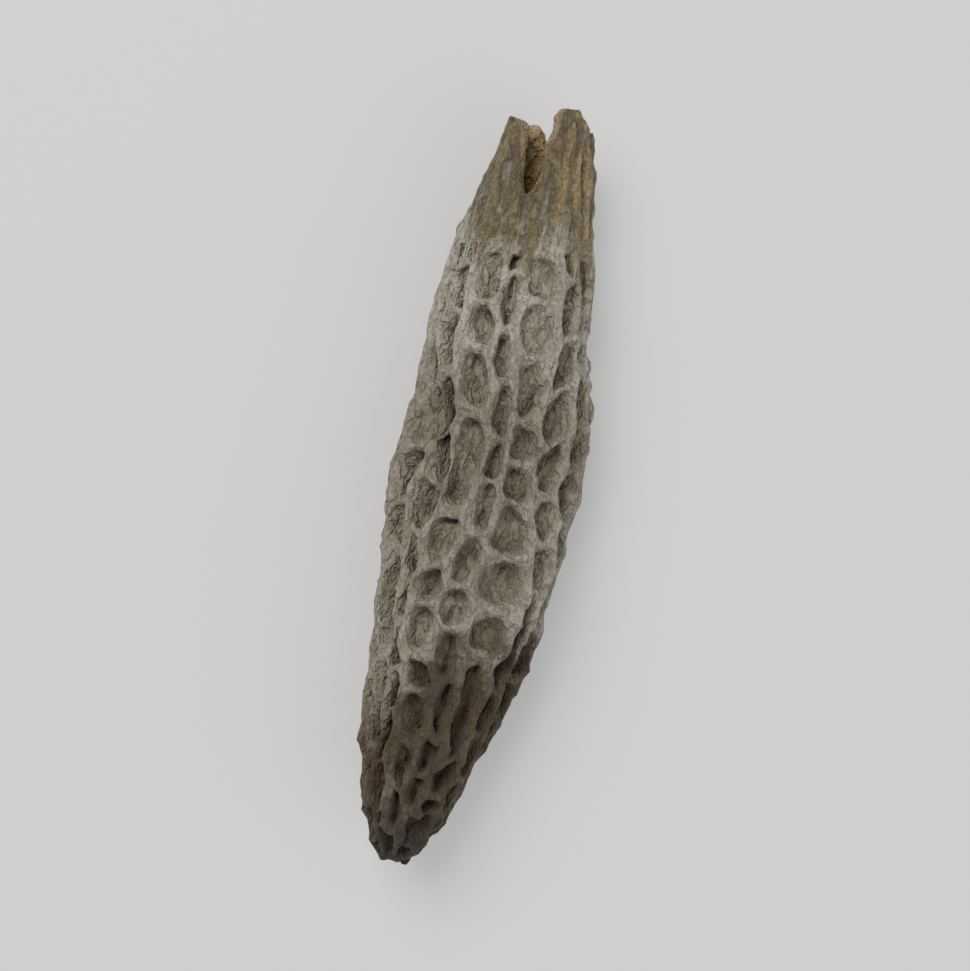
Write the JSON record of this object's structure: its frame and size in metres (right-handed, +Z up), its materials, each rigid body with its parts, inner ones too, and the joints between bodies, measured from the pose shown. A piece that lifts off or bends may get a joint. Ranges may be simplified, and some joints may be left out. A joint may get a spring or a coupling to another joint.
{
  "type": "dried morel mushroom",
  "caption": "Dried morel lying on its side: hollow conical cap with a raised net of ridges round deep pits, and a short furrowed hollow stem torn open at the end.",
  "frame": {"origin": "centre of the bounding box's bottom face, on the surface that the mushroom lies on", "axes": "+Y from the cap's tip towards the torn end of the stem, +Z up, +X across"},
  "size_m": [0.0088, 0.0356, 0.0069],
  "materials": {
    "dried_skin": "matt, dry and finely wrinkled"
  },
  "bodies": {
    "root": {"morel": "dried_skin"}
  },
  "joints": []
}
